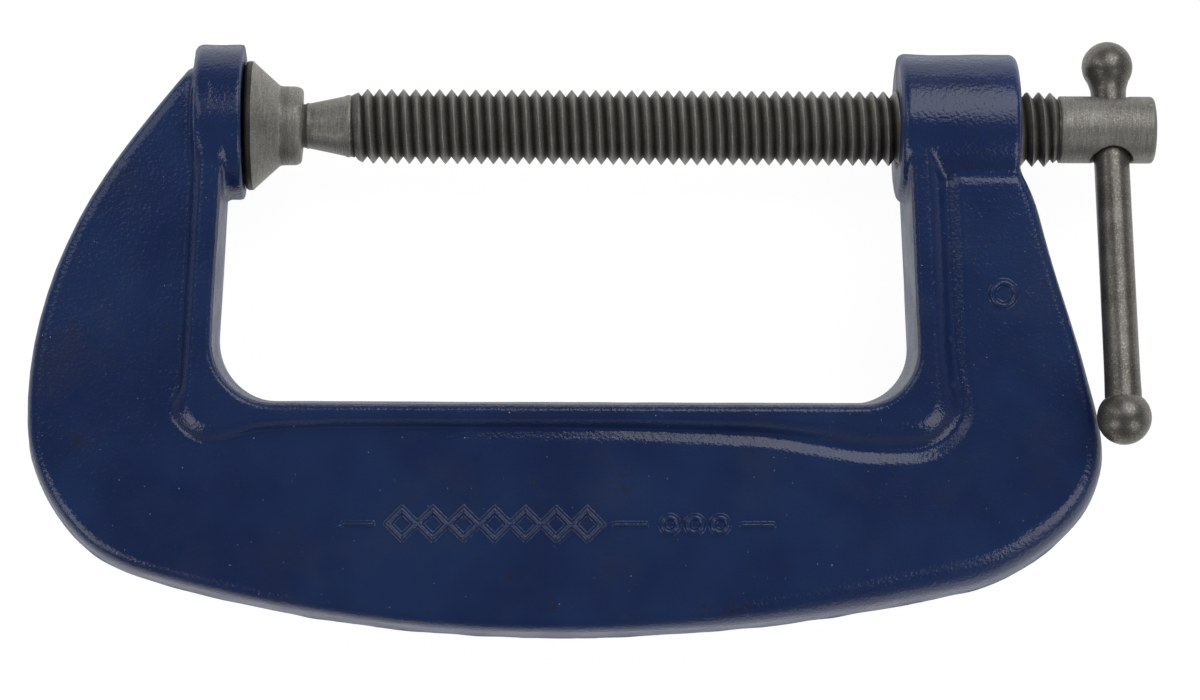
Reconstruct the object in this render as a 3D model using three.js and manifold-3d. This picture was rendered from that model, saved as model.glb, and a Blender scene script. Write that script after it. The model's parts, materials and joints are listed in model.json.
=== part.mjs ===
// A 100 mm C-clamp: cast frame, right-hand clamping screw, ball-jointed swivel pad and sliding tommy bar.
import * as THREE from "three";
import { mergeVertices } from "three/addons/utils/BufferGeometryUtils.js";
import Module from "manifold-3d";

const wasm = await Module();
wasm.setup();

// Driving dimensions in millimetres. The design frame has its origin at the centre of the anvil face:
// +X runs along the screw towards the tommy bar, -Y towards the spine of the frame, and Z = 0 is the
// mid-plane of the casting, which is also its parting plane.
const JAW_TO_BOSS = 110.4;
const THROAT_DEPTH = 46.5;
const RUNNING_GAP = 0.35;
const SEAT_GAP = 0.3;

const WEB_HALF = 10.2;
const RIB_HALF = 13;
const RIB_WIDTH = 4.5;
const WEB_ROUND = 1;
const RIB_ROUND = 0.8;

const ANVIL = { radius: 13, length: 8.1, lift: 0.5, round: 1.3, freeRim: 11.6 };
const BOSS = { radius: 12.5, length: 20, round: 1.2 };
const THROAT = { anvilRoot: -5, anvilSlope: 2.5, armRoot: 113.4, armSlope: -2.2, nearRound: 10, farRound: 9 };
const WEB_TOP = -2;

const THREAD = { crest: 6.32, root: 5.13, pitch: 2.03, sides: 16, start: 17.6, end: 137.5 };
const HEAD = { radius: 5.68, end: 154, round: 0.6 };
const CROSS_HOLE = { x: 146.7, radius: 3.72 };
const BALL = { radius: 4.5, x: 6.4 };
const NECK = { radius: 3.6, end: 3.7, root: 5.2 };

const PAD = { lip: 10.9, lipLength: 1.4, collar: 6.7, coneEnd: 6.1, end: 9.8, mouth: 4.05, round: 0.7 };
const PAD_STEP = { radius: 1.2, length: 1.4, rise: 0.2 };

const BAR = { radius: 3, turn: THREE.MathUtils.degToRad(17), upper: 11.2, lower: 50.8 };
const UPPER_BALL = 4.33;
const LOWER_BALL = 4.56;
const PRESS_DEPTH = 2;

// Curves are drawn with this many steps, and points closer than this are one point. Solids that are
// joined reach this far into each other.
const ARC_STEPS = 8;
const EDGE_STEPS = 3;
const BALL_STEPS = 7;
const CASTING_SIDES = 48;
const STEEL_SIDES = 32;
const BAR_SIDES = 24;
const SAME_POINT = 0.01;
const OVERLAP = 0.1;

// The clamp lies on its side with the middle of its footprint at the origin.
const FOOTPRINT = { x: 58.5, y: -35.5 };
const REST_HEIGHT = RIB_HALF;

// Materials

function paint() {
  return new THREE.MeshStandardMaterial({ color: 0x1d2a58, roughness: 0.25, metalness: 0.1 });
}

function phosphatedSteel() {
  return new THREE.MeshStandardMaterial({ color: 0x76736f, roughness: 0.6, metalness: 0.85 });
}

function darkSteel() {
  return new THREE.MeshStandardMaterial({ color: 0x66645f, roughness: 0.65, metalness: 0.8 });
}

// Solids: a closed geometry becomes a manifold solid, and a solid becomes a geometry again.

function solid(geometry) {
  const bare = geometry.clone();
  bare.deleteAttribute("normal");
  bare.deleteAttribute("uv");
  const merged = mergeVertices(bare, 1e-4);
  const mesh = new wasm.Mesh({
    numProp: 3,
    vertProperties: new Float32Array(merged.attributes.position.array),
    triVerts: new Uint32Array(merged.index.array),
  });
  return new wasm.Manifold(mesh);
}

function geometryOf(manifold) {
  const mesh = manifold.getMesh();
  const geometry = new THREE.BufferGeometry();
  geometry.setAttribute("position", new THREE.BufferAttribute(mesh.vertProperties, 3));
  geometry.setIndex(new THREE.BufferAttribute(mesh.triVerts, 1));
  return geometry;
}

function part(name, geometry, material) {
  const flat = geometry.toNonIndexed();
  flat.computeVertexNormals();
  const mesh = new THREE.Mesh(flat, material);
  mesh.name = name;
  return mesh;
}

// Curves

// Points of a circular arc in a profile plane, from angle to angle in degrees.
function arcPoints(x, y, radius, from, to, steps) {
  const points = [];
  for (let i = 0; i <= steps; i++) {
    const angle = THREE.MathUtils.degToRad(from + ((to - from) * i) / steps);
    points.push(new THREE.Vector2(x + radius * Math.cos(angle), y + radius * Math.sin(angle)));
  }
  return points;
}

// Continues a path with a smooth curve that leaves and arrives at the stated headings, in degrees.
function curveTo(path, leaving, end, arriving) {
  const start = path.currentPoint.clone();
  const [from, to] = [leaving, arriving].map(THREE.MathUtils.degToRad);
  const reach = start.distanceTo(end) / 3 / Math.cos((to - from) / 4) ** 2;
  path.bezierCurveTo(
    start.x + reach * Math.cos(from),
    start.y + reach * Math.sin(from),
    end.x - reach * Math.cos(to),
    end.y - reach * Math.sin(to),
    end.x,
    end.y,
  );
}

// Continues a path to a corner's end, rounding the corner with a tangent arc.
function roundCorner(path, corner, next, radius) {
  const before = path.currentPoint.clone().sub(corner).normalize();
  const after = next.clone().sub(corner).normalize();
  const half = Math.acos(before.dot(after)) / 2;
  const reach = radius / Math.tan(half);
  const start = corner.clone().addScaledVector(before, reach);
  const end = corner.clone().addScaledVector(after, reach);
  const inwards = before.clone().add(after).normalize();
  const centre = corner.clone().addScaledVector(inwards, radius / Math.sin(half));
  path.lineTo(start.x, start.y);
  path.absarc(
    centre.x,
    centre.y,
    radius,
    start.clone().sub(centre).angle(),
    end.clone().sub(centre).angle(),
    before.cross(after) > 0,
  );
}

// A body turned about the X axis. Profile points are (radius, x), running towards +X.
function turned(points, sides) {
  return new THREE.LatheGeometry(points, sides).rotateZ(-Math.PI / 2);
}

// A path's points without the ones that repeat where two of its curves meet.
function distinctPoints(path) {
  const points = path.getPoints(ARC_STEPS);
  return points.filter((point, i) => point.distanceTo(points.at(i - 1)) > SAME_POINT);
}

// A flat plate, symmetric about Z = 0, with rounded edges inside its outline.
function plate(outline, halfThickness, round) {
  const geometry = new THREE.ExtrudeGeometry(new THREE.Shape(outline), {
    depth: 2 * (halfThickness - round),
    bevelThickness: round,
    bevelSize: round,
    bevelOffset: -round,
    bevelSegments: 1,
  });
  return geometry.translate(0, 0, round - halfThickness);
}

// A right-hand V thread along +X as one closed body. Each pitch is a root and a crest, every section
// round the axis is moved on by its share of the pitch, and the last section meets the first one a
// whole pitch along.
function threadGeometry({ crest, root, pitch, sides }, from, to) {
  const turns = Math.ceil((to - from) / pitch) + 1;
  const perSection = 2 * turns + 1;
  const positions = [];
  for (let side = 0; side < sides; side++) {
    const angle = (2 * Math.PI * side) / sides;
    for (let k = 0; k < perSection; k++) {
      const radius = k % 2 ? crest : root;
      const x = from + pitch * (k / 2 + side / sides - 1);
      positions.push(x, radius * Math.cos(angle), radius * Math.sin(angle));
    }
  }
  const firstCentre = positions.length / 3;
  positions.push(from - pitch, 0, 0, from + pitch * turns, 0, 0);
  const lastCentre = firstCentre + 1;
  const vertex = (side, k) => (side < sides ? side * perSection + k : k + 2);
  const index = [];
  for (let side = 0; side < sides; side++) {
    const rows = side === sides - 1 ? perSection - 3 : perSection - 1;
    for (let k = 0; k < rows; k++) {
      const [a, b] = [vertex(side, k), vertex(side, k + 1)];
      const [c, d] = [vertex(side + 1, k), vertex(side + 1, k + 1)];
      index.push(a, c, b, b, c, d);
    }
    index.push(firstCentre, vertex(side + 1, 0), vertex(side, 0));
  }
  index.push(firstCentre, 1, 2, firstCentre, 0, 1);
  const last = perSection - 1;
  for (let side = 0; side < sides - 1; side++) {
    index.push(lastCentre, vertex(side, last), vertex(side + 1, last));
  }
  const end = vertex(sides - 1, last);
  const [seamLow, seamHigh] = [vertex(sides - 1, last - 2), vertex(sides - 1, last - 1)];
  index.push(seamLow, last, seamHigh, seamHigh, last, end, lastCentre, end, last);
  const geometry = new THREE.BufferGeometry();
  geometry.setAttribute("position", new THREE.Float32BufferAttribute(positions, 3));
  return geometry.setIndex(index);
}

// Frame

const at = (x, y) => new THREE.Vector2(x, y);

// The inner edge of the C, from the anvil round the throat to the boss, moved outwards by a distance.
function innerEdge(outwards) {
  const { anvilRoot, anvilSlope, armRoot, armSlope, nearRound, farRound } = THROAT;
  const floor = -THROAT_DEPTH - outwards;
  const nearFoot = at(anvilRoot - outwards, floor);
  const farFoot = at(armRoot + outwards, floor);
  const armTop = at(farFoot.x + armSlope, WEB_TOP);
  const path = new THREE.Path();
  path.moveTo(nearFoot.x + anvilSlope, WEB_TOP);
  roundCorner(path, nearFoot, farFoot, nearRound + outwards);
  roundCorner(path, farFoot, armTop, farRound + outwards);
  path.lineTo(armTop.x, armTop.y);
  return path;
}

// The web of the C: a straight arm below the boss, a bowed spine and a straight back behind the anvil.
function webOutline() {
  const edge = innerEdge(0);
  edge.lineTo(128, WEB_TOP);
  edge.lineTo(129, -4);
  curveTo(edge, -55, at(134.4, -15.5), -75.5);
  curveTo(edge, -75.5, at(142.2, -41), -74.2);
  curveTo(edge, -74.2, at(145.4, -55.2), -90);
  curveTo(edge, -90, at(138.6, -69.2), -138);
  curveTo(edge, -138, at(122, -78.3), -167.5);
  curveTo(edge, -167.5, at(53, -86.6), -180);
  curveTo(edge, -180, at(-15.5, -77.5), -196);
  curveTo(edge, -196, at(-29.2, -69.9), -228);
  curveTo(edge, -228, at(-36.9, -50.5), -270);
  curveTo(edge, -270, at(-23.6, -8.2), -304);
  curveTo(edge, -304, at(-9.4, 9.7), -309);
  edge.lineTo(-5, 8);
  return distinctPoints(edge);
}

// The thicker rib that lines the throat.
function ribOutline() {
  return [...distinctPoints(innerEdge(0)), ...distinctPoints(innerEdge(RIB_WIDTH)).reverse()];
}

function anvil() {
  const { radius, length, round, lift, freeRim } = ANVIL;
  const profile = [
    at(0, -length),
    ...arcPoints(radius - round, round - length, round, -90, 0, EDGE_STEPS),
    at(radius, 0),
    at(freeRim, 0),
    at(0, 0),
  ];
  return turned(profile, CASTING_SIDES).translate(0, lift, 0);
}

function boss() {
  const { radius, length, round } = BOSS;
  const [front, back] = [JAW_TO_BOSS, JAW_TO_BOSS + length];
  const profile = [
    at(0, front),
    ...arcPoints(radius - round, front + round, round, -90, 0, EDGE_STEPS),
    ...arcPoints(radius - round, back - round, round, 0, 90, EDGE_STEPS),
    at(0, back),
  ];
  return turned(profile, CASTING_SIDES);
}

// The tapped bore keeps its running gap all round the screw's thread and shares its lead and phase.
function tappedBore() {
  const { crest, root, pitch } = THREAD;
  const female = { ...THREAD, crest: crest + RUNNING_GAP, root: root + RUNNING_GAP };
  const start = THREAD.start + pitch * Math.floor((JAW_TO_BOSS - THREAD.start) / pitch - 1);
  return threadGeometry(female, start, JAW_TO_BOSS + BOSS.length + pitch).rotateX(-BAR.turn);
}

function frame() {
  const casting = solid(plate(webOutline(), WEB_HALF, WEB_ROUND))
    .add(solid(plate(ribOutline(), RIB_HALF, RIB_ROUND)))
    .add(solid(anvil()))
    .add(solid(boss()));
  return part("frame", geometryOf(casting.subtract(solid(tappedBore()))), paint());
}

// Screw

// Everything on the screw but its thread: ball tip, waisted neck, core and unrolled head.
function screwBody() {
  const { radius, x } = BALL;
  const { root, pitch, start, end } = THREAD;
  const neckStart = Math.sqrt(radius ** 2 - NECK.radius ** 2);
  const neckAngle = THREE.MathUtils.radToDeg(Math.asin(neckStart / radius));
  const core = root - OVERLAP;
  return turned(
    [
      ...arcPoints(0, x, radius, -90, neckAngle, BALL_STEPS),
      at(NECK.end, PAD.end),
      at(NECK.root, start),
      at(core, start + pitch),
      at(core, end),
      at(HEAD.radius, end + HEAD.round),
      ...arcPoints(HEAD.radius - HEAD.round, HEAD.end - HEAD.round, HEAD.round, 0, 90, EDGE_STEPS),
      at(0, HEAD.end),
    ],
    STEEL_SIDES,
  );
}

// The tapered blank that the thread is cut down to at both of its ends.
function threadEnvelope() {
  const { crest, root, pitch, start, end } = THREAD;
  const profile = [
    at(0, start),
    at(root, start),
    at(crest + OVERLAP, start + pitch),
    at(crest + OVERLAP, end - pitch),
    at(root, end),
    at(0, end),
  ];
  return turned(profile, STEEL_SIDES);
}

function crossHole() {
  const { x, radius } = CROSS_HOLE;
  return new THREE.CylinderGeometry(radius, radius, 4 * HEAD.radius, STEEL_SIDES).translate(x, 0, 0);
}

function screw() {
  const endlessThread = solid(threadGeometry(THREAD, THREAD.start, THREAD.end));
  const thread = endlessThread.intersect(solid(threadEnvelope()));
  const whole = solid(screwBody()).add(thread).subtract(solid(crossHole()));
  return part("screw", geometryOf(whole), phosphatedSteel());
}

// Swivel pad: a flared foot with a rolled collar that holds the ball of the screw.
function swivelPad() {
  const socket = BALL.radius + SEAT_GAP;
  const { lip, lipLength, collar, coneEnd, end, mouth, round } = PAD;
  const mouthAngle = THREE.MathUtils.radToDeg(Math.acos(mouth / socket));
  const profile = [
    at(0, SEAT_GAP),
    at(lip - round, SEAT_GAP),
    at(lip, SEAT_GAP + round),
    at(lip, lipLength),
    at(collar + PAD_STEP.radius, coneEnd - PAD_STEP.length),
    at(collar + PAD_STEP.rise, coneEnd),
    ...arcPoints(collar - round, end - round, round, 0, 90, EDGE_STEPS),
    at(mouth, end),
    ...arcPoints(0, BALL.x, socket, mouthAngle, -90, BALL_STEPS),
  ];
  return part("swivel_pad", turned(profile, STEEL_SIDES), darkSteel());
}

// Tommy bar, along the Y axis of the turned group, with its own upper ball and a pressed-on lower one.

function tommyBar() {
  const { radius, upper, lower } = BAR;
  const neckAngle = THREE.MathUtils.radToDeg(Math.acos(radius / UPPER_BALL));
  const tip = -lower - PRESS_DEPTH;
  const ball = arcPoints(0, upper, UPPER_BALL, -neckAngle, 90, ARC_STEPS);
  const profile = [at(0, tip), at(radius, tip), ...ball];
  return part("tommy_bar", new THREE.LatheGeometry(profile, BAR_SIDES), phosphatedSteel());
}

function barEndBall() {
  const bore = BAR.radius + SEAT_GAP;
  const seatEnd = -BAR.lower - PRESS_DEPTH - SEAT_GAP;
  const mouthAngle = THREE.MathUtils.radToDeg(Math.acos(bore / LOWER_BALL));
  const ball = arcPoints(0, -BAR.lower, LOWER_BALL, -90, mouthAngle, ARC_STEPS);
  const profile = [...ball, at(bore, seatEnd), at(0, seatEnd)];
  return part("bar_end_ball", new THREE.LatheGeometry(profile, BAR_SIDES), darkSteel());
}

function tommyBarGroup() {
  const group = new THREE.Group();
  group.position.x = CROSS_HOLE.x;
  group.add(tommyBar());
  group.add(barEndBall());
  return group;
}

// Assembly: the screw and its bar are turned together, then the whole clamp is laid on its side.

const spindle = new THREE.Group();
spindle.rotation.x = -BAR.turn;
spindle.add(screw());
spindle.add(tommyBarGroup());

const clamp = new THREE.Group();
clamp.position.set(-FOOTPRINT.x, -FOOTPRINT.y, REST_HEIGHT);
clamp.add(frame());
clamp.add(swivelPad());
clamp.add(spindle);

export default clamp;
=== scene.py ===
import json
import math

import bmesh
import bpy
import numpy as np
from mathutils import Matrix, Vector


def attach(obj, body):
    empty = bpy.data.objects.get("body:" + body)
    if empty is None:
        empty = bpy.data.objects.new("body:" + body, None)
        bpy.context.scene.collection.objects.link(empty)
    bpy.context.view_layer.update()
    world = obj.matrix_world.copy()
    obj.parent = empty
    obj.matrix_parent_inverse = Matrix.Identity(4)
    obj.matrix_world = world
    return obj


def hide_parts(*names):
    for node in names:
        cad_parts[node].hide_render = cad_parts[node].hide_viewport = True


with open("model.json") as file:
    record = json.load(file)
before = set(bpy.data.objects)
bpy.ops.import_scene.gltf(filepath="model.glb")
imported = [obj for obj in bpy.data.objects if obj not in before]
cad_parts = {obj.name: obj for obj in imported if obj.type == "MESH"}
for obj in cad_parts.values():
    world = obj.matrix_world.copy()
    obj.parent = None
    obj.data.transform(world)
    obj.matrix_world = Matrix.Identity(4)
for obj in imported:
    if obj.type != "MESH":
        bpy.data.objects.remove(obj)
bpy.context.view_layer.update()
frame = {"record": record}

# ---------------------------------------------------------------- driving dimensions
# Shapes are worked out in millimetres in the clamp's design frame: the origin is the centre of
# the anvil face, +X runs along the screw, -Y towards the spine and Z = 0 is the parting plane.
MM = 0.001

JAW_TO_BOSS = 110.4
THROAT_DEPTH = 46.5
WEB_HALF = 10.2
RIB_HALF = 13.0
RIB_WIDTH = 3.3
FOOT_DEPTH, FOOT_RISE = 0.72, 1.9
BOSS_CLEARANCE, BOSS_RISE = 13.9, 0.24
ANVIL_RADIUS, ANVIL_LENGTH, ANVIL_LIFT = 13.0, 8.1, 0.5
BOSS_RADIUS, BOSS_LENGTH = 12.5, 20.0
BORE_RADIUS = 6.62
THROAT_EDGE, BORE_EDGE, BOSS_EDGE = 1.0, 0.5, 1.2
ANVIL_BACK_EDGE, ANVIL_FACE_EDGE, ANVIL_FILLET, BOSS_FILLET = 1.4, 0.4, 1.2, 0.7
SHOULDER_INSET, SHOULDER_EDGE = 0.4, 2.0
CASTING_LOW, CASTING_HIGH = [-40.0, -89.0, -14.5], [148.0, 16.0, 14.5]
CASTING_STEP, QUICK_CASTING_STEP = 0.45, 0.9
MACHINED_RADIUS, MACHINED_FROM = 7.5, 100
FLASH_WIDTH, FLASH_HEIGHT, FLASH_VARIES = 0.45, 0.16, 0.12

CREST, ROOT, PITCH = 6.32, 5.13, 2.03
THREAD_START, THREAD_END = 17.6, 137.4
HEAD_RADIUS, HEAD_END = 5.68, 154.0
CROSS_HOLE_X, CROSS_HOLE_RADIUS = 146.7, 3.72
BALL_X, BALL_RADIUS = 6.4, 4.5
CORE_RADIUS = 5.06
SEAT_GAP = 0.3

# The bar is turned out of the clamp's plane. It is loose in its hole, and leans by BAR_LEAN
# degrees with its lower end away from the frame.
BAR_TURN, BAR_LEAN = math.radians(17), 0.6
BAR_RADIUS = 2.98
UPPER_BALL_AT, UPPER_BALL = 11.2, 4.33
LOWER_BALL_AT, LOWER_BALL = 50.8, 4.56
BALL_BORE, BAR_PRESS = 3.3, 2


def design_origin():
    """The centre of the anvil face in the row frame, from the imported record."""
    record = frame["record"]
    anvil = next(m for m in record["mounts"] if m["name"] == "anvil_face")
    axis = next(j for j in record["behaviour"]["joints"] if j["name"] == "screw_turn")
    return np.array([anvil["pos_m"][0], axis["pos_m"][1], axis["pos_m"][2]])


ORIGIN = design_origin()


def to_row(points):
    """Design millimetres to row metres."""
    return np.asarray(points, float) * MM + ORIGIN


# ---------------------------------------------------------------- small geometry helpers
def rounded_corner(before, corner, after, radius, steps=16):
    """Points along the arc that rounds a corner between two straight lines."""
    u = np.subtract(before, corner) / np.linalg.norm(np.subtract(before, corner))
    v = np.subtract(after, corner) / np.linalg.norm(np.subtract(after, corner))
    half = math.acos(u @ v) / 2
    middle = (u + v) / np.linalg.norm(u + v)
    centre = np.add(corner, middle * radius / math.sin(half))
    first = corner + u * radius / math.tan(half) - centre
    turn = math.copysign(math.pi - 2 * half, v[0] * u[1] - u[0] * v[1])
    angles = math.atan2(first[1], first[0]) + turn * np.arange(steps + 1) / steps
    return centre + radius * np.c_[np.cos(angles), np.sin(angles)]


def signed_distance(x, y, outline):
    """Distance from points to a closed outline, negative inside."""
    nearest = np.full(x.shape, np.inf)
    inside = np.zeros(x.shape, bool)
    for (ax, ay), (bx, by) in zip(outline, np.roll(outline, -1, axis=0)):
        dx, dy = bx - ax, by - ay
        along = np.clip(((x - ax) * dx + (y - ay) * dy) / (dx * dx + dy * dy), 0, 1)
        nearest = np.minimum(nearest, (x - ax - along * dx) ** 2 + (y - ay - along * dy) ** 2)
        crosses = (ay > y) != (by > y)
        if dy:
            inside ^= crosses & (x < ax + (y - ay) * dx / dy)
    return np.where(inside, -1, 1) * np.sqrt(nearest)


# ---------------------------------------------------------------- solids as distance fields
def filleted_union(a, b, radius):
    """Two fields joined, with a concave fillet of that radius where they meet."""
    corner = np.hypot(np.maximum(radius - a, 0), np.maximum(radius - b, 0))
    return np.maximum(radius, np.minimum(a, b)) - corner


def rounded_meet(a, b, radius):
    """What two fields have in common, with a rounded edge of that radius."""
    corner = np.hypot(np.maximum(radius + a, 0), np.maximum(radius + b, 0))
    return np.minimum(-radius, np.maximum(a, b)) + corner


def surface_net(field, low, step):
    """A quad mesh of a sampled field's zero surface: one vertex in each cell that it crosses."""
    inside = field < 0
    nx, ny, nz = (n - 1 for n in field.shape)
    corners = [(i, j, k) for i in (0, 1) for j in (0, 1) for k in (0, 1)]
    count = sum(inside[i:nx + i, j:ny + j, k:nz + k].astype(np.int8) for i, j, k in corners)
    cells = np.argwhere((count > 0) & (count < 8))
    index = np.full((nx, ny, nz), -1, np.int64)
    index[tuple(cells.T)] = np.arange(len(cells))
    total, hits = np.zeros((len(cells), 3)), np.zeros(len(cells))
    for first in corners:
        for axis in range(3):
            if first[axis]:
                continue
            second = tuple(1 if n == axis else c for n, c in enumerate(first))
            a = field[tuple((cells + first).T)]
            b = field[tuple((cells + second).T)]
            crossed = (a < 0) != (b < 0)
            share = np.where(crossed, a / np.where(crossed, a - b, 1), 0)
            point = np.tile(np.array(first, float), (len(cells), 1))
            point[:, axis] = share
            total += point * crossed[:, None]
            hits += crossed
    vertices = low + step * (cells + total / hits[:, None])
    quads = []
    for axis in range(3):
        u, v = (axis + 1) % 3, (axis + 2) % 3
        here = [slice(1, -1)] * 3
        here[axis] = slice(0, -1)
        there = list(here)
        there[axis] = slice(1, None)
        a, b = inside[tuple(here)], inside[tuple(there)]
        for entering in (True, False):
            edges = np.argwhere((b & ~a) if entering else (a & ~b))
            for n in (u, v):
                edges[:, n] += 1
            ring = []
            for du, dv in ((1, 1), (0, 1), (0, 0), (1, 0)):
                cell = edges.copy()
                cell[:, u] -= du
                cell[:, v] -= dv
                ring.append(index[tuple(cell.T)])
            quads.append(np.stack(ring[::-1] if entering else ring, axis=1))
    return vertices, np.concatenate(quads)


def field_gradient(field, points, reach=0.05):
    """The unit direction in which a field grows, at some points."""
    slopes = []
    for axis in range(3):
        offset = np.zeros(3)
        offset[axis] = reach
        slopes.append(field(points + offset) - field(points - offset))
    slopes = np.stack(slopes, axis=1)
    return slopes / np.maximum(np.linalg.norm(slopes, axis=1, keepdims=True), 1e-9)


def relaxed(vertices, quads, field, rounds=3):
    """Evens out the net along the surface, and puts every vertex on it."""
    pairs = np.concatenate([quads[:, [n, (n + 1) % 4]] for n in range(4)])
    degree = np.bincount(pairs[:, 0], minlength=len(vertices))[:, None]
    for _ in range(rounds):
        total = np.zeros_like(vertices)
        np.add.at(total, pairs[:, 0], vertices[pairs[:, 1]])
        vertices = 0.5 * vertices + 0.5 * total / degree
        for _ in range(2):
            vertices = vertices - field(vertices)[:, None] * field_gradient(field, vertices)
    return vertices


def make_mesh(name, vertices, faces):
    """A smooth-shaded object from design millimetres, its shape in place and its origin at zero."""
    mesh = bpy.data.meshes.new(name)
    faces = [list(dict.fromkeys(map(int, f))) for f in faces]
    mesh.from_pydata(to_row(vertices).tolist(), [], [f for f in faces if len(f) > 2])
    mesh.validate()
    mesh.update()
    mesh.polygons.foreach_set("use_smooth", [True] * len(mesh.polygons))
    made = bpy.data.objects.new(name, mesh)
    bpy.context.scene.collection.objects.link(made)
    return made


# ---------------------------------------------------------------- frame casting
def smooth_path(nodes, steps=10):
    """A curve through nodes of (x, y, heading in degrees), each stretch nearly an arc."""
    points = [nodes[0][:2]]
    for (ax, ay, a), (bx, by, b) in zip(nodes, nodes[1:]):
        chord = math.hypot(bx - ax, by - ay)
        turn = math.radians(abs((b - a + 180) % 360 - 180))
        reach = chord / 3 / math.cos(turn / 4) ** 2
        first = ax + reach * math.cos(math.radians(a)), ay + reach * math.sin(math.radians(a))
        second = bx - reach * math.cos(math.radians(b)), by - reach * math.sin(math.radians(b))
        for t in np.arange(1, steps + 1) / steps:
            weights = (1 - t) ** 3, 3 * t * (1 - t) ** 2, 3 * t * t * (1 - t), t ** 3
            corners = (ax, ay), first, second, (bx, by)
            points.append(tuple(sum(w * c[n] for w, c in zip(weights, corners)) for n in (0, 1)))
    return points


def outer_outline():
    """The outer edge of the casting: straight back behind the anvil, bowed spine, straight arm."""
    back = smooth_path([
        (-9.2, 9.5, 231), (-23.1, -8.4, 236), (-36.3, -50.5, 270), (-28.5, -69.5, 312),
        (-15.2, -77.0, 344), (53, -86.4, 0), (122, -78.6, 12.5), (138.6, -69.5, 42),
        (145.4, -55.2, 90), (142.2, -41, 105.8), (134.4, -15.5, 104.5), (129, -4, 125),
    ])
    return np.array(back + [(112, -1), (-2, -1), (-4, 8)])


def throat_outline(near_round, far_round):
    """The open middle of the C, carried up past the screw."""
    left, right = (-0.15, 40), (109.1, 40)
    foot, toe = (-5, -THROAT_DEPTH), (113.4, -THROAT_DEPTH)
    near = rounded_corner(left, foot, toe, near_round)
    far = rounded_corner(foot, toe, right, far_round)
    return np.concatenate([[left], near, far, [right]])


# The rib's outer side is measured from a throat with tighter corners than the real one.
OUTER = outer_outline()
THROAT = throat_outline(10, 9)
RIB_LINE = throat_outline(0.6, 1.4)


def ramp(x, low, high):
    """0 below low, 1 above high, smooth between."""
    t = np.clip((x - low) / (high - low), 0, 1)
    return t * t * (3 - 2 * t)


INNER_DRAFT, ARM_DRAFT, SPINE_DRAFT = (math.tan(math.radians(angle)) for angle in (1.5, 4, 9.5))

# The rib is wider beside the anvil and narrower along the spine. Its wall runs out over a longer
# distance on the arm and in the two corners.
ANVIL_WIDER, SPINE_NARROWER = 0.6, 0.5
WALL_RUN, ARM_RUN, FAR_CORNER_RUN, NEAR_CORNER_RUN = 1.9, 1.6, 2.1, 1.9

# The rounding of the casting's outer edges: everywhere, more on the spine, and more at the heel.
OUTER_EDGE, SPINE_EDGE, HEEL_EDGE = 1.7, 0.5, 3.0


def upper_surface(x, y, from_throat):
    """Height of the casting's face: rib, its wall, a valley along its foot, then the web."""
    width = RIB_WIDTH + ANVIL_WIDER * ramp(-x, -8, 4)
    width = width - SPINE_NARROWER * ramp(-y, 40, 47) * ramp(x, 0, 20)
    reach = WALL_RUN + ARM_RUN * ramp(x, 60, 110)
    reach = reach + FAR_CORNER_RUN * ramp(x, 85, 108) * ramp(-y, 38, 50)
    reach = reach + NEAR_CORNER_RUN * ramp(-x, -4, 6) * ramp(-y, 43, 49)
    past = from_throat - width + 0.5
    depth = FOOT_DEPTH * ramp(x, 10, 95)
    valley = WEB_HALF - depth
    wall = RIB_HALF - (RIB_HALF - valley) * ramp(past, 0.2, reach + 0.3)
    rise = valley + depth * np.clip((past - 0.3 - reach) / FOOT_RISE, 0, 1)
    height = np.maximum(wall, rise)
    over = BOSS_CLEARANCE ** 2 - height ** 2
    near_boss = ramp(x, 98, 106) * np.maximum(y + np.sqrt(np.maximum(over, 0)), 0)
    return height - BOSS_RISE * near_boss


def frame_field(x, y, z, outer, throat, rib):
    """The casting as a distance field, given the distances to its three outlines."""
    height = np.abs(z)
    reach = 0.05
    top = upper_surface(x, y, rib)
    slope = (upper_surface(x, y, rib + reach) - top) / reach
    body = (height - top) / np.sqrt(1 + slope ** 2)
    body = rounded_meet(body, height * INNER_DRAFT - throat, THROAT_EDGE)
    draft = ARM_DRAFT + (SPINE_DRAFT - ARM_DRAFT) * ramp(-y, 35, 78)
    edge = OUTER_EDGE + SPINE_EDGE * ramp(-y, 30, 70)
    edge = edge + HEEL_EDGE * ramp(x, 50, 115) * ramp(-y, 45, 75)
    body = rounded_meet(body, outer + height * draft, edge)
    behind_anvil = np.hypot(np.maximum(y - ANVIL_LIFT, 0), z) - ANVIL_RADIUS + SHOULDER_INSET
    body = rounded_meet(body, behind_anvil, SHOULDER_EDGE)
    rim = np.hypot(y - ANVIL_LIFT, z) - ANVIL_RADIUS
    anvil = rounded_meet(rim, -ANVIL_LENGTH - x, ANVIL_BACK_EDGE)
    anvil = rounded_meet(anvil, x, ANVIL_FACE_EDGE)
    tube = np.hypot(y, z) - BOSS_RADIUS
    boss = rounded_meet(tube, JAW_TO_BOSS - x, BOSS_EDGE)
    boss = rounded_meet(boss, x - JAW_TO_BOSS - BOSS_LENGTH, BOSS_EDGE)
    casting = filleted_union(filleted_union(body, anvil, ANVIL_FILLET), boss, BOSS_FILLET)
    bore = np.hypot(y, z) - BORE_RADIUS
    drilled = np.maximum(bore, np.abs(x - JAW_TO_BOSS - BOSS_LENGTH / 2) - BOSS_LENGTH)
    return rounded_meet(casting, -drilled, BORE_EDGE)


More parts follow.
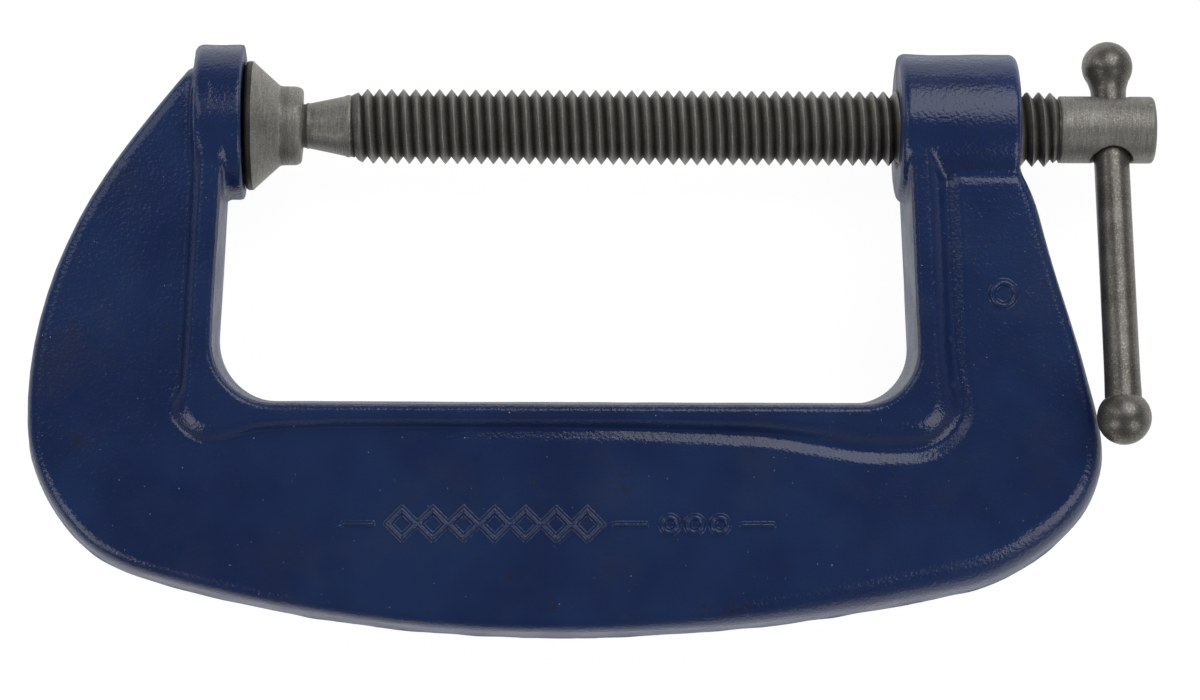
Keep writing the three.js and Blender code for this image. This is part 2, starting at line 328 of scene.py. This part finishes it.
def casting_mesh(step):
    """The casting's surface as vertices and quads."""
    low = np.array(CASTING_LOW)
    counts = np.ceil((np.array(CASTING_HIGH) - low) / step).astype(int) + 1
    x, y, z = (low[n] + step * np.arange(counts[n]) for n in range(3))
    flat_x, flat_y = np.meshgrid(x, y, indexing="ij")
    outlines = [signed_distance(flat_x, flat_y, line) for line in (OUTER, THROAT, RIB_LINE)]

    def field_at(points):
        at = (points[:, :2] - low[:2]) / step
        cell = np.clip(np.floor(at).astype(int), 0, counts[:2] - 2)
        u, v = (at - cell).T
        i, j = cell.T
        flat = [
            (g[i, j] * (1 - u) + g[i + 1, j] * u) * (1 - v)
            + (g[i, j + 1] * (1 - u) + g[i + 1, j + 1] * u) * v
            for g in outlines
        ]
        return frame_field(*points.T, *flat)

    layers = [g[:, :, None] for g in outlines]
    field = frame_field(x[:, None, None], y[None, :, None], z[None, None, :], *layers)
    vertices, quads = surface_net(field, low, step)
    return relaxed(vertices, quads, field_at), quads


def lattice_noise(points, size, seed):
    """Smooth noise from -1 to 1 at some points, with lumps about as wide as size."""
    at = np.asarray(points) / size
    cell = np.floor(at).astype(np.int64)
    share = at - cell
    share = share * share * (3 - 2 * share)
    total = np.zeros(len(at))
    for corner in np.ndindex(2, 2, 2):
        n = (cell + corner) @ np.array([73856093, 19349663, 83492791]) + seed * 2654435761
        n = (n ^ (n >> 13)) * 1274126177 & 0xFFFFFFFF
        weight = np.prod(np.where(corner, share, 1 - share), axis=1)
        total += weight * ((n ^ (n >> 16)) & 0xFFFFFFFF) / 0xFFFFFFFF
    return 2 * total - 1


def vertex_normals(vertices, quads):
    """Unit normals from the two diagonals of each quad."""
    a, b, c, d = (vertices[quads[:, n]] for n in range(4))
    across = np.cross(c - a, d - b)
    total = np.zeros_like(vertices)
    for n in range(4):
        np.add.at(total, quads[:, n], across)
    return total / np.maximum(np.linalg.norm(total, axis=1, keepdims=True), 1e-12)


# The raised marks are plain shapes drawn with rounded ridges: dashes, diamonds and rings.
MARK_Y, MARK_HEIGHT, STROKE = -66.8, 0.58, 0.64
MARK_REACH, BELOW_WEB = 1.1, 0.5
DASHES = [(17.4, 22.1), (62.6, 67.8), (84.0, 89.1)]
DIAMONDS = [27.1 + 5.15 * n for n in range(7)]
RINGS = [71.8, 76.0, 80.2]
ARM_RING = (127.5, -28.0)


def mark_distance(x, y):
    """Distance in the plane of the web to the centre line of the nearest raised stroke."""
    y0 = y - MARK_Y
    nearest = np.abs(np.hypot(x - ARM_RING[0], y - ARM_RING[1]) - 1.9)
    for low, high in DASHES:
        nearest = np.minimum(nearest, np.hypot(x - np.clip(x, low, high), y0) + 0.12)
    for middle in DIAMONDS:
        nearest = np.minimum(nearest, np.abs(np.abs(x - middle) + np.abs(y0) - 2.35) * 0.707)
    for middle in RINGS:
        nearest = np.minimum(nearest, np.abs(np.hypot(x - middle, y0) - 1.25))
    return nearest


def mark_height(x, y):
    """How far the marks stand out of the web at a point."""
    across = np.clip(mark_distance(x, y) / STROKE, 0, 1)
    return MARK_HEIGHT * (1 - across ** 2) ** 1.2


def make_casting():
    """The casting, with slight waves all over and a ridge of flash along its parting line."""
    vertices, quads = casting_mesh(CASTING_STEP)
    normals = vertex_normals(vertices, quads)
    machined = np.hypot(vertices[:, 1], vertices[:, 2]) < MACHINED_RADIUS
    machined &= vertices[:, 0] > MACHINED_FROM
    wave = 0.07 * lattice_noise(vertices, 13, 1) + 0.03 * lattice_noise(vertices, 5, 2)
    parting = vertices[:, 2] + 0.6 * lattice_noise(vertices, 20, 3)
    flash = np.exp(-(parting / FLASH_WIDTH) ** 2)
    flash *= (np.abs(normals[:, 2]) < 0.35) & (signed_outer(vertices) > -1.2)
    ridge = flash * (FLASH_HEIGHT + FLASH_VARIES * lattice_noise(vertices, 4, 4))
    push = np.where(machined, 0, wave) + ridge
    vertices = vertices + normals * push[:, None]
    made = make_mesh("frame_casting", vertices, quads)
    raise_marks(made)
    return made


def signed_outer(vertices):
    """Distance of each vertex to the casting's outer outline, negative inside."""
    return signed_distance(vertices[:, 0], vertices[:, 1], OUTER)


def raise_marks(made):
    """Refines the web's upper face around the marks, and lifts them out of it."""
    bm = bmesh.new()
    bm.from_mesh(made.data)
    places = np.array([f.calc_center_median() for f in bm.faces])
    places = (places - ORIGIN) / MM
    near = mark_distance(places[:, 0], places[:, 1]) < MARK_REACH
    near &= places[:, 2] > WEB_HALF - BELOW_WEB
    bm.faces.ensure_lookup_table()
    edges = {e for n in np.flatnonzero(near) for e in bm.faces[n].edges}
    bmesh.ops.subdivide_edges(bm, edges=list(edges), cuts=3, use_grid_fill=True)
    for v in bm.verts:
        x, y, z = ((c - o) / MM for c, o in zip(v.co, ORIGIN))
        if WEB_HALF - BELOW_WEB < z:
            v.co.z += MM * float(mark_height(x, y))
    bm.to_mesh(made.data)
    bm.free()


# ---------------------------------------------------------------- turned steel pieces
def lathe(profile, sides):
    """A closed body turned about X, from (x, radius) points that start and end on the axis."""
    angles = 2 * math.pi * np.arange(sides) / sides
    rings = [[(x, r * math.cos(a), r * math.sin(a)) for a in angles] for x, r in profile[1:-1]]
    vertices = [(profile[0][0], 0, 0)]
    vertices += [v for ring in rings for v in ring]
    vertices += [(profile[-1][0], 0, 0)]
    faces = []
    for n in range(sides):
        m = (n + 1) % sides
        faces.append((0, 1 + n, 1 + m))
        for k in range(len(rings) - 1):
            low, high = 1 + k * sides, 1 + (k + 1) * sides
            faces.append((low + m, low + n, high + n, high + m))
        low = 1 + (len(rings) - 1) * sides
        faces.append((len(vertices) - 1, low + m, low + n))
    return np.array(vertices), faces


# The thread's profile over one pitch: the height above the root at each phase.
THREAD_PHASES = [0, 0.05, 0.1, 0.42, 0.46, 0.5, 0.54, 0.58, 0.9, 0.95, 1]
THREAD_HEIGHTS = [1, 0.96, 0.84, 0.14, 0.04, 0, 0.04, 0.14, 0.84, 0.96, 1]
ROW_PHASES = [0, 0.05, 0.1, 0.26, 0.42, 0.46, 0.5, 0.54, 0.58, 0.74, 0.9, 0.95]

# The thread's crests run out in a taper at each end.
BLANK_AT, BLANK_RADII = [16.8, 20.3, 136.3, 138.2], [4.5, CREST, CREST, 4.6]


def thread_radius(phase):
    """Radius of a rounded V thread at a phase of its pitch, 0 at the crest."""
    return ROOT + (CREST - ROOT) * np.interp(phase % 1, THREAD_PHASES, THREAD_HEIGHTS)


def thread_shell(sides):
    """The right-hand thread as one closed body: rows of points that climb one pitch each turn."""
    step = len(ROW_PHASES)
    pitches = int((THREAD_END - THREAD_START) / PITCH) + 3
    base = np.array([p + n for n in range(pitches) for p in ROW_PHASES])
    rows = len(base)
    vertices = []
    for side in range(sides):
        angle = 2 * math.pi * side / sides
        x = THREAD_START + PITCH * (base - 1.5 + side / sides)
        r = np.minimum(thread_radius(base), np.interp(x, BLANK_AT, BLANK_RADII))
        vertices.append(np.c_[x, r * math.cos(angle), r * math.sin(angle)])
    first, last = vertices[0][0], vertices[-1][-1]
    vertices = np.concatenate(vertices + [[(first[0] - 0.1, 0, 0), (last[0] + 0.1, 0, 0)]])
    low, high = len(vertices) - 2, len(vertices) - 1

    def index(side, k):
        return side * rows + k if side < sides else k + step

    faces = []
    for side in range(sides):
        for k in range(rows - 1 - (step if side == sides - 1 else 0)):
            corners = (side, k), (side + 1, k), (side + 1, k + 1), (side, k + 1)
            faces.append(tuple(index(*c) for c in corners))
    start = [index(s, 0) for s in range(sides + 1)] + list(range(step - 1, -1, -1))
    end = [index(s, rows - 1) for s in range(sides)]
    end += [index(sides - 1, k) for k in range(rows - 2, rows - 2 - step, -1)] + [rows - 1]
    faces += [(low, b, a) for a, b in zip(start, start[1:])]
    faces += [(high, a, b) for a, b in zip(end, end[1:])]
    return vertices, faces


HEAD_MARGIN, HEAD_EDGE, COLLAR_EDGE, HOLE_EDGE = 0.6, 0.7, 0.25, 0.22
HEAD_STEP, QUICK_HEAD_STEP = 0.24, 0.5


def head_mesh(step):
    """The unthreaded end with its cross hole, whose rims are eased."""
    side = HEAD_RADIUS + HEAD_MARGIN
    low = np.array([THREAD_END - 0.5, -side, -side])
    counts = np.ceil((np.array([HEAD_END + HEAD_MARGIN, side, side]) - low) / step)
    ticks = (low[n] + step * np.arange(counts[n] + 1) for n in range(3))
    x, y, z = np.meshgrid(*ticks, indexing="ij")

    def field(points):
        x, y, z = points.T
        return head_field(x, y, z)

    vertices, quads = surface_net(head_field(x, y, z), low, step)
    return relaxed(vertices, quads, field), quads


def head_field(x, y, z):
    """The head as a distance field."""
    head = rounded_meet(np.hypot(y, z) - HEAD_RADIUS, x - HEAD_END, HEAD_EDGE)
    head = rounded_meet(head, THREAD_END + 0.45 - x, COLLAR_EDGE)
    hole = np.hypot(x - CROSS_HOLE_X, z) - CROSS_HOLE_RADIUS
    return rounded_meet(head, -hole, HOLE_EDGE)


def closed_object(name, vertices, faces):
    """A scratch object in millimetres with its faces turned outwards."""
    mesh = bpy.data.meshes.new(name)
    mesh.from_pydata(np.asarray(vertices).tolist(), [], [tuple(map(int, f)) for f in faces])
    bm = bmesh.new()
    bm.from_mesh(mesh)
    bmesh.ops.remove_doubles(bm, verts=bm.verts, dist=1e-5)
    bmesh.ops.recalc_face_normals(bm, faces=bm.faces)
    bm.to_mesh(mesh)
    bm.free()
    made = bpy.data.objects.new(name, mesh)
    bpy.context.scene.collection.objects.link(made)
    return made


def united(name, parts, turn):
    """Several closed bodies as one object in the row frame, turned about the screw's axis."""
    whole = closed_object(name, *parts[0])
    others = [closed_object(f"{name}_{n}", *part) for n, part in enumerate(parts[1:])]
    for other in others:
        modifier = whole.modifiers.new("join", "BOOLEAN")
        modifier.operation, modifier.solver, modifier.object = "UNION", "MANIFOLD", other
    if others:
        bpy.context.view_layer.update()
        evaluated = whole.evaluated_get(bpy.context.evaluated_depsgraph_get())
        mesh = bpy.data.meshes.new_from_object(evaluated)
        whole.modifiers.clear()
        whole.data = mesh
    for other in others:
        bpy.data.objects.remove(other)
    place = Matrix.Translation(Vector(ORIGIN)) @ Matrix.Rotation(turn, 4, "X") @ Matrix.Scale(MM, 4)
    whole.data.transform(place)
    whole.data.polygons.foreach_set("use_smooth", [True] * len(whole.data.polygons))
    whole.data.set_sharp_from_angle(angle=math.radians(50))
    return whole


# The screw's waisted neck and the collar before its thread, as (x, radius) from the ball up.
NECK_RADIUS = 3.6
NECK_PROFILE = [
    (9.9, 3.66), (10.45, 3.72), (10.6, 3.88), (10.8, 3.9), (10.95, 3.82), (11.5, 3.92),
    (13.5, 4.33), (15.5, 4.75), (17.0, 5.07), (17.15, 5.2), (17.35, 5.26), (17.7, 5.28),
    (17.95, 5.2), (18.2, CORE_RADIUS),
]


def make_screw():
    """The screw in one piece: ball tip, neck and core, then the thread, then the head."""
    sides = 64
    neck = math.degrees(math.asin(NECK_RADIUS / BALL_RADIUS))
    tip = []
    for degrees in np.linspace(180, neck, 15):
        angle = math.radians(degrees)
        tip.append((BALL_X + BALL_RADIUS * math.cos(angle), BALL_RADIUS * math.sin(angle)))
    tip[0] = (BALL_X - BALL_RADIUS, 0)
    body = tip + NECK_PROFILE + [(THREAD_END + 1, CORE_RADIUS), (THREAD_END + 2, 0)]
    head = head_mesh(HEAD_STEP)
    return united("screw_body", [lathe(body, sides), thread_shell(sides), head], -BAR_TURN)


# The pad's flat face, then its outside from the rolled lip over the flare to the collar's mouth,
# as (x, radius).
PAD_FACE = [(SEAT_GAP, 0), (SEAT_GAP, 9.9), (0.32, 10.35)]
PAD_PROFILE = [
    (1.45, 10.9), (1.62, 10.82), (1.75, 10.68), (2.0, 10.44), (3.5, 9.08), (5.3, 7.45),
    (5.75, 7.05), (6.05, 6.82), (6.35, 6.72), (6.8, 6.68), (8.6, 6.66), (9.1, 6.56),
    (9.5, 6.36), (9.75, 6.05), (9.82, 5.6), (9.82, 4.6), (9.7, 4.2),
]
PAD_MOUTH = 4.05
CRIMP_DEPTH = 0.16


def make_pad():
    """The flared foot, whose collar is crimped over the ball a little unevenly."""
    socket = BALL_RADIUS + SEAT_GAP
    mouth = math.degrees(math.acos(PAD_MOUTH / socket))
    lip = [(0.95 - 0.6 * math.cos(a), 10.33 + 0.58 * math.sin(a))
           for a in np.radians(np.linspace(25, 90, 5))]
    inside = [(BALL_X + socket * math.sin(a), socket * math.cos(a))
              for a in np.radians(np.linspace(mouth, -90, 16))]
    inside[-1] = (BALL_X - socket, 0)
    vertices, faces = lathe(PAD_FACE + lip + PAD_PROFILE + inside, 112)
    crimp = ramp(vertices[:, 0], 8.2, 9.8) * (np.hypot(vertices[:, 1], vertices[:, 2]) > 4.6)
    uneven = CRIMP_DEPTH * lattice_noise(vertices, 5.5, 7)
    vertices[:, 0] += crimp * (uneven + CRIMP_DEPTH * ramp(vertices[:, 1], -2, 1) - 0.1)
    return united("swivel_pad_foot", [(vertices, faces)], 0)


def along_bar(vertices):
    """Moves a body turned about X onto the tommy bar's axis, with +X at its upper end."""
    x, y, z = np.asarray(vertices).T
    lean = math.radians(BAR_LEAN)
    across = CROSS_HOLE_X + y * math.cos(lean) - x * math.sin(lean)
    return np.c_[across, x * math.cos(lean) + y * math.sin(lean), -z]


# The bar swells a little towards both balls: (distance from the screw's axis, radius).
BAR_SWELL = [(46.6, 3.1), (45.4, 3.06), (43, 3.02), (38, 3.0), (30, 2.99), (10, BAR_RADIUS)]
BAR_NECK = [(0, BAR_RADIUS), (6, BAR_RADIUS), (6.9, 3.02), (7.6, 3.14), (8.2, 3.34)]


def make_bar():
    """The bar with its upper ball formed on it; its lower end goes into the pressed-on ball."""
    upper = [(UPPER_BALL_AT + 0.15 + UPPER_BALL * math.sin(a), UPPER_BALL * math.cos(a))
             for a in np.radians(np.linspace(-35, 90, 18))]
    profile = [(-LOWER_BALL_AT - BAR_PRESS, 0), (-LOWER_BALL_AT - BAR_PRESS, BAR_RADIUS)]
    profile += [(-x, r) for x, r in BAR_SWELL] + BAR_NECK + upper
    profile[-1] = (UPPER_BALL_AT + 0.15 + UPPER_BALL, 0)
    vertices, faces = lathe(profile, 72)
    lumps = 0.05 * lattice_noise(vertices, 2.6, 11) * ramp(vertices[:, 0], 6, 9)
    vertices[:, 1:] *= 1 + lumps[:, None] / 4
    return united("tommy_bar_rod", [(along_bar(vertices), faces)], -BAR_TURN)


def make_ball():
    """The lower ball, with the bore that the bar is pressed into."""
    mouth = math.degrees(math.acos((BALL_BORE + 0.25) / LOWER_BALL))
    outside = [(-LOWER_BALL_AT + LOWER_BALL * math.sin(a), LOWER_BALL * math.cos(a))
               for a in np.radians(np.linspace(-90, mouth, 26))]
    outside[0] = (-LOWER_BALL_AT - LOWER_BALL, 0)
    end = outside[-1][0]
    bottom = -LOWER_BALL_AT - 2.3
    profile = outside + [
        (end + 0.12, BALL_BORE + 0.12), (end + 0.05, BALL_BORE), (bottom, BALL_BORE), (bottom, 0)
    ]
    vertices, faces = lathe(profile, 72)
    return united("bar_end_ball_cap", [(along_bar(vertices), faces)], -BAR_TURN)


# ---------------------------------------------------------------- materials
def srgb(red, green, blue):
    """A linear colour from 8-bit display values above 10."""
    linear = (((c / 255 + 0.055) / 1.055) ** 2.4 for c in (red, green, blue))
    return (*linear, 1.0)


class Nodes:
    """A short way to write a material's node tree."""

    def __init__(self, name):
        self.material = bpy.data.materials.new(name)
        self.material.use_nodes = True
        self.tree = self.material.node_tree
        self.shader = self.tree.nodes["Principled BSDF"]
        coordinates = self.add("ShaderNodeTexCoord").outputs
        self.place, self.normal = coordinates["Object"], coordinates["Normal"]

    def add(self, kind, inputs=None, **settings):
        node = self.tree.nodes.new(kind)
        for key, value in settings.items():
            setattr(node, key, value)
        for key, value in (inputs or {}).items():
            if isinstance(value, bpy.types.NodeSocket):
                self.tree.links.new(value, node.inputs[key])
            else:
                node.inputs[key].default_value = value
        return node

    def vector(self, operation, a, b):
        return self.add("ShaderNodeVectorMath", {0: a, 1: b}, operation=operation).outputs[0]

    def noise(self, size, detail=3.0, rough=0.55, stretch=None):
        """Noise from 0 to 1 with lumps about size millimetres wide."""
        place = self.vector("MULTIPLY", self.place, stretch) if stretch else self.place
        inputs = {"Vector": place, "Scale": 1 / (size * MM), "Detail": detail, "Roughness": rough}
        return self.add("ShaderNodeTexNoise", inputs).outputs["Fac"]

    def spread(self, value, low, high, to_low=0.0, to_high=1.0):
        """A value between low and high, spread smoothly over another range."""
        inputs = {"Value": value, "From Min": low, "From Max": high}
        inputs.update({"To Min": to_low, "To Max": to_high})
        node = self.add("ShaderNodeMapRange", inputs, interpolation_type="SMOOTHSTEP")
        return node.outputs["Result"]

    def mix(self, share, a, b):
        node = self.add("ShaderNodeMix", data_type="RGBA")
        for key, value in ((0, share), (6, a), (7, b)):
            if isinstance(value, bpy.types.NodeSocket):
                self.tree.links.new(value, node.inputs[key])
            else:
                node.inputs[key].default_value = value
        return node.outputs[2]

    def math(self, operation, *values):
        return self.add("ShaderNodeMath", dict(enumerate(values)), operation=operation).outputs[0]

    def bump(self, height, distance, strength=1.0, below=None):
        inputs = {"Height": height, "Distance": distance * MM, "Strength": strength}
        if below:
            inputs["Normal"] = below
        return self.add("ShaderNodeBump", inputs).outputs["Normal"]

    def to_shader(self, **links):
        for key, value in links.items():
            socket = self.shader.inputs[key.replace("_", " ")]
            if isinstance(value, bpy.types.NodeSocket):
                self.tree.links.new(value, socket)
            else:
                socket.default_value = value


def specks(n, size, share, radius):
    """A mask of round specks: size is the spacing in millimetres, radius is a share of it."""
    cells = n.add("ShaderNodeTexVoronoi", {"Vector": n.place, "Scale": 1 / (size * MM)})
    picked = n.add("ShaderNodeSeparateColor", {0: cells.outputs["Color"]}).outputs
    chosen = n.math("LESS_THAN", picked[0], share)
    reach = n.math("MULTIPLY", picked[1], radius)
    return n.math("MULTIPLY", n.math("LESS_THAN", cells.outputs["Distance"], reach), chosen)


def paint_material():
    """Thick navy enamel with orange peel and a haze of dust; convex edges get a painted highlight
    of lighter blue, broken up by noise.
    """
    n = Nodes("navy_enamel")
    colour = n.mix(n.spread(n.noise(22), 0.35, 0.65), srgb(28, 43, 84), srgb(32, 51, 94))
    haze = n.spread(n.noise(16, 5, 0.6), 0.5, 0.68, 0, 0.16)
    colour = n.mix(haze, colour, srgb(58, 62, 72))
    dirt = n.spread(n.noise(7, 8, 0.72), 0.6, 0.72, 0, 0.6)
    colour = n.mix(dirt, colour, srgb(38, 38, 42))
    # Painted highlight: convex edges, found by pointiness, are mixed towards a lighter blue in
    # patches.
    edges = n.spread(n.add("ShaderNodeNewGeometry").outputs["Pointiness"], 0.52, 0.6)
    edge_highlight = n.math("MULTIPLY", edges, n.spread(n.noise(3, 5, 0.6), 0.4, 0.65, 0, 0.5))
    colour = n.mix(edge_highlight, colour, srgb(62, 70, 96))
    dust = n.math("MAXIMUM", specks(n, 2.1, 0.6, 0.055), specks(n, 1.05, 0.35, 0.075))
    colour = n.mix(n.math("MULTIPLY", dust, 0.75), colour, srgb(160, 170, 195))
    n.to_shader(Base_Color=colour, IOR=1.45)
    rough = n.spread(n.noise(7, 5), 0.3, 0.75, 0.13, 0.24)
    rough = n.math("ADD", rough, n.math("MULTIPLY", dust, 0.4))
    facing = n.add("ShaderNodeSeparateXYZ", {0: n.normal}).outputs[2]
    walls = n.spread(n.math("ABSOLUTE", facing), 0.12, 0.45, 1, 0)
    n.to_shader(Roughness=n.math("ADD", rough, n.math("MULTIPLY", walls, 0.26)))
    cast = n.math("MULTIPLY", n.noise(0.7, 4, 0.65), n.math("MULTIPLY", walls, 2.5))
    peel = n.bump(n.math("ADD", n.noise(0.55, 2, 0.5), cast), 0.085)
    peel = n.bump(n.noise(2.6, 2, 0.5), 0.06, below=peel)
    n.to_shader(Normal=peel)
    return n.material


def axis_radius(n, x_low, x_high):
    """Distance from the screw's axis in millimetres, and a mask for a stretch of the axis."""
    moved = n.vector("SUBTRACT", n.place, tuple(ORIGIN))
    x, y, z = n.add("ShaderNodeSeparateXYZ", {0: moved}).outputs
    squares = n.math("ADD", n.math("MULTIPLY", y, y), n.math("MULTIPLY", z, z))
    radius = n.math("DIVIDE", n.math("SQRT", squares), MM)
    after, before = n.math("GREATER_THAN", x, x_low * MM), n.math("LESS_THAN", x, x_high * MM)
    return radius, n.math("MULTIPLY", after, before)


def steel_material(name, light, dark, rough=0.56, rings=0.0, darkened_bands=None):
    """Phosphated steel: fine grain, faint turning rings, a painted highlight on convex edges, and
    bands darkened by distance from the axis, such as painted shade in the thread's grooves.
    """
    n = Nodes(name)
    grain = n.noise(0.3, 3, 0.6)
    turning = n.noise(1.0, 3, 0.6, stretch=(6.0, 0.35, 0.35))
    colour = n.mix(n.spread(n.noise(5, 4), 0.3, 0.7), dark, light)
    colour = n.mix(n.spread(grain, 0.5, 0.8, 0, 0.45), colour, srgb(196, 194, 186))
    colour = n.mix(n.spread(grain, 0.5, 0.25, 0, 0.35), colour, srgb(50, 47, 43))
    # Painted highlight: convex edges, found by pointiness, are mixed towards a light steel grey.
    edges = n.spread(n.add("ShaderNodeNewGeometry").outputs["Pointiness"], 0.53, 0.62, 0, 0.35)
    colour = n.mix(edges, colour, srgb(190, 188, 181))
    if rings:
        colour = n.mix(n.spread(turning, 0.42, 0.7, 0, rings), colour, srgb(200, 198, 190))
    roughness = n.spread(grain, 0.3, 0.7, rough + 0.06, rough - 0.06)
    # Each band darkens the colour by distance from the axis; on the thread this is painted shade in
    # the grooves.
    for radius_low, radius_high, x_low, x_high, strength in darkened_bands or ():
        radius, inside = axis_radius(n, x_low, x_high)
        share = n.math("MULTIPLY", n.spread(radius, radius_low, radius_high, strength, 0), inside)
        colour = n.mix(share, colour, srgb(22, 22, 19))
    n.to_shader(Base_Color=colour, Metallic=0.7, Roughness=roughness)
    height = n.math("ADD", grain, n.math("MULTIPLY", turning, 1.5 if rings else 0.2))
    n.to_shader(Normal=n.bump(height, 0.02, 0.8))
    return n.material


def dress(piece, material, body, slot, *nodes):
    """Gives a piece its material and body, and hides the CAD nodes that it stands for. The slot is
    not used.
    """
    piece.data.materials.clear()
    piece.data.materials.append(material)
    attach(piece, body)
    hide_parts(*nodes)


# ---------------------------------------------------------------- pieces
dress(make_casting(), paint_material(), "frame", "frame_paint", "frame")
# Darkened bands: full inside the first radius, none outside the second, over a stretch of x, and
# how dark.
# The thread's band is painted shade in its grooves, darkest at the root.
THREAD_GROOVE_SHADE = [(ROOT, CREST - 0.1, 18.0, THREAD_END + 0.2, 0.8)]
# The pad's bands darken its lip beside the anvil face, and faintly a band on the collar behind the
# flare.
PAD_DARKENED_BANDS = [(10.9, 10.95, 0.0, 1.55, 0.85), (8.0, 8.1, 6.2, 7.6, 0.25)]
screw_steel = steel_material(
    "phosphated_screw", srgb(132, 130, 125), srgb(116, 113, 108), 0.52, 0.22, THREAD_GROOVE_SHADE
)
pad_steel = steel_material(
    "phosphated_pad", srgb(135, 133, 127), srgb(120, 117, 111), 0.52, 0.22, PAD_DARKENED_BANDS
)
bar_steel = steel_material("phosphated_bar", srgb(112, 109, 104), srgb(84, 81, 77), 0.36)
dress(make_screw(), screw_steel, "screw", "screw_steel", "screw")
dress(make_pad(), pad_steel, "swivel_pad", "pad_steel", "swivel_pad")
dress(make_bar(), bar_steel, "tommy_bar", "bar_steel", "tommy_bar")
dress(make_ball(), bar_steel, "tommy_bar", "bar_steel", "bar_end_ball")


# ---------------------------------------------------------------- floor, light and camera
FLOOR_HALF, FLOOR_DROP = 3.0, 0.0002


def floor():
    """A plain pale floor, just under the object."""
    mesh = bpy.data.meshes.new("floor")
    signs = (-1, -1), (1, -1), (1, 1), (-1, 1)
    corners = [(x * FLOOR_HALF, y * FLOOR_HALF, 0) for x, y in signs]
    mesh.from_pydata(corners, [], [(0, 1, 2, 3)])
    made = bpy.data.objects.new("floor", mesh)
    bpy.context.scene.collection.objects.link(made)
    made.location.z = -FLOOR_DROP
    n = Nodes("pale_floor")
    n.to_shader(Base_Color=(0.12, 0.12, 0.12, 1), Roughness=0.9)
    n.to_shader(Emission_Color=(1, 1, 1, 1), Emission_Strength=0.95)
    mesh.materials.append(n.material)


def softbox(name, place, target, width, height, power):
    """A rectangular light at a place, turned towards a target."""
    light = bpy.data.lights.new(name, "AREA")
    light.shape, light.size, light.size_y, light.energy = "RECTANGLE", width, height, power
    made = bpy.data.objects.new(name, light)
    bpy.context.scene.collection.objects.link(made)
    made.location = place
    made.rotation_euler = (Vector(target) - Vector(place)).to_track_quat("-Z", "Y").to_euler()


floor()
softbox("key_above", (0.245, 0.405, 0.48), (0.1, 0.03, 0), 0.5, 0.52, 2.1)
softbox("strip_left", (-0.37, 0.27, 0.42), (0, 0, 0), 0.24, 0.6, 0.6)
softbox("fill_left", (-0.42, -0.34, 0.42), (0, 0, 0), 0.3, 0.4, 0.9)
softbox("fill_right", (0.42, -0.32, 0.42), (0, 0, 0), 0.3, 0.4, 0.9)


def surround():
    """A white surround that darkens overhead."""
    world = bpy.data.worlds.new("studio")
    world.use_nodes = True
    tree = world.node_tree
    place = tree.nodes.new("ShaderNodeTexCoord")
    axes = tree.nodes.new("ShaderNodeSeparateXYZ")
    fade = tree.nodes.new("ShaderNodeMapRange")
    tree.links.new(place.outputs["Generated"], axes.inputs[0])
    tree.links.new(axes.outputs["Z"], fade.inputs["Value"])
    fade.interpolation_type = "SMOOTHSTEP"
    for key, value in (("From Min", 0.1), ("From Max", 0.6), ("To Min", 0.28), ("To Max", 0.08)):
        fade.inputs[key].default_value = value
    background = tree.nodes["Background"]
    background.inputs["Color"].default_value = (1, 1, 1, 1)
    tree.links.new(fade.outputs["Result"], background.inputs["Strength"])
    bpy.context.scene.world = world


surround()

# The camera looks down on the clamp from nearly overhead. Its place, lens and roll were fitted to
# the photograph's outline by least squares.
EYE, TARGET = Vector((-0.0135, -0.0024, 0.752)), Vector((0.00174, -0.00219, 0.013))
SENSOR, LENS, ROLL = 36.0, 130.95, math.radians(-0.23)

camera = bpy.data.objects.new("camera", bpy.data.cameras.new("camera"))
bpy.context.scene.collection.objects.link(camera)
camera.data.sensor_width, camera.data.lens = SENSOR, LENS
camera.location = EYE
view = (TARGET - EYE).normalized()
right = view.cross(Vector((0, 1, 0))).normalized()
upright = Matrix((right, right.cross(view), -view)).transposed()
camera.rotation_euler = (Matrix.Rotation(ROLL, 3, view) @ upright).to_euler()
camera.data.clip_start = 0.05
bpy.context.scene.camera = camera
bpy.context.scene.view_settings.view_transform = "Standard"
